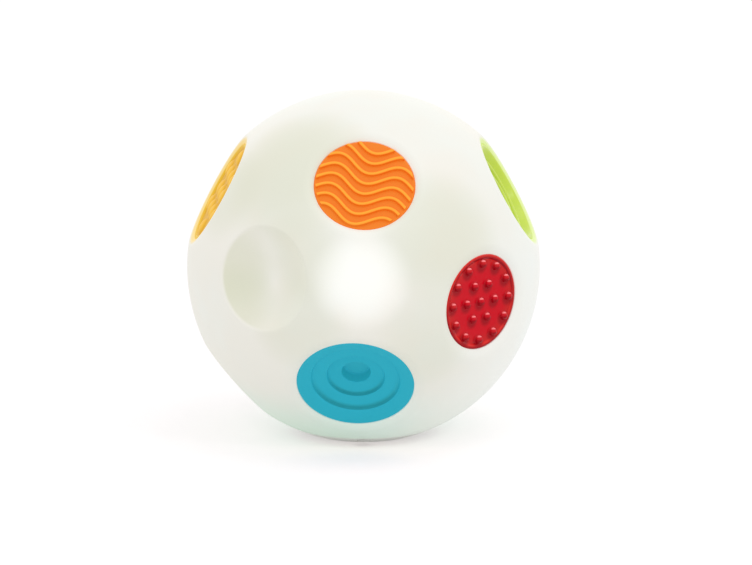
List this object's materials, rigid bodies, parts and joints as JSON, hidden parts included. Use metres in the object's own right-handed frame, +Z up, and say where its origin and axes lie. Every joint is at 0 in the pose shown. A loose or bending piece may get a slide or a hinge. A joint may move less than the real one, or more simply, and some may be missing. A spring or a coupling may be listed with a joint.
{
  "type": "sensory ball",
  "caption": "Light-up sensory ball: a hollow milky shell with soft textured colour pads in round pockets, finger dimples, and a battery-powered light module under a screwed door.",
  "frame": {"origin": "middle of the flat that the ball stands on", "axes": "+Z up through the middle of the ball, -Y towards the front that the picture shows"},
  "size_m": [0.13, 0.13, 0.1272],
  "materials": {
    "milky_shell": "satin, milky and translucent, lit from inside",
    "orange_soft": "soft matte elastomer with lighter ridges",
    "red_soft": "soft glossy elastomer",
    "blue_soft": "soft matte elastomer",
    "yellow_soft": "soft satin elastomer",
    "green_soft": "soft glossy elastomer",
    "white_plastic": "fine moulded texture",
    "grey_rubber": "matte",
    "screw_steel": "zinc plated",
    "spring_steel": "nickel plated",
    "contact_plate": "nickel plated sheet",
    "switch_can": "drawn can",
    "cell_sleeve": "plain glossy printed sleeve",
    "green_board": "solder mask over laminate",
    "lamp_lens": "clear moulded lens",
    "black_plastic": "moulded",
    "slider_plastic": "moulded",
    "lead_sleeve": "wire sleeve",
    "dome_plastic": "translucent diffuser"
  },
  "bodies": {
    "ball": {"ball_shell": "milky_shell", "wave_pad": "orange_soft", "nub_pad": "red_soft", "step_pad": "blue_soft", "bump_pad": "yellow_soft", "ring_pad": "green_soft", "base_housing": "white_plastic", "cap_seal": "grey_rubber", "cap_screws": "screw_steel", "cell_1": "cell_sleeve", "cell_2": "cell_sleeve", "cell_3": "cell_sleeve", "top_bridge_contact": "contact_plate", "top_end_contact": "contact_plate", "top_spring": "spring_steel", "return_strip": "contact_plate", "circuit_board": "green_board", "board_screws": "screw_steel", "led_1": "lamp_lens", "led_2": "lamp_lens", "led_3": "lamp_lens", "led_4": "lamp_lens", "control_chip": "black_plastic", "motion_switch_can": "switch_can", "power_switch_body": "black_plastic", "switch_leads": "lead_sleeve", "diffuser_dome": "dome_plastic"},
    "door": {"battery_door": "white_plastic", "door_seal": "grey_rubber", "door_bridge_contact": "contact_plate", "door_end_contact": "contact_plate", "door_springs": "spring_steel"},
    "front_keeper": {"screw_keeper_front": "black_plastic"},
    "front_screw": {"door_screw_front": "screw_steel"},
    "back_keeper": {"screw_keeper_back": "black_plastic"},
    "back_screw": {"door_screw_back": "screw_steel"},
    "slider": {"power_slider": "slider_plastic"},
    "jump_ball": {"motion_switch_ball": "spring_steel"}
  },
  "joints": [
    {"name": "door_lift", "type": "slide", "parent": "ball", "child": "door", "axis": [0, 0, -1], "range_m": [0, 0.015]},
    {"name": "front_screw_travel", "type": "slide", "parent": "door", "child": "front_keeper", "axis": [0, 0, -1], "range_m": [0, 0.0026]},
    {"name": "front_screw_turn", "type": "hinge", "parent": "front_keeper", "child": "front_screw", "pos_m": [0, -0.0162, 0.002], "axis": [0, 0, -1], "range_deg": [0, 1040]},
    {"name": "back_screw_travel", "type": "slide", "parent": "door", "child": "back_keeper", "axis": [0, 0, -1], "range_m": [0, 0.0026]},
    {"name": "back_screw_turn", "type": "hinge", "parent": "back_keeper", "child": "back_screw", "pos_m": [0, 0.0162, 0.002], "axis": [0, 0, -1], "range_deg": [0, 1040]},
    {"name": "power_slide", "type": "slide", "parent": "ball", "child": "slider", "axis": [0, 1, 0], "range_m": [-0.003, 0]},
    {"name": "jump", "type": "slide", "parent": "ball", "child": "jump_ball", "axis": [0, 0, 1], "range_m": [0, 0.0018]}
  ],
  "couplings": [
    {"joint": "front_screw_turn", "follows": "front_screw_travel", "rad_per_m": 6981},
    {"joint": "back_screw_turn", "follows": "back_screw_travel", "rad_per_m": 6981}
  ]
}
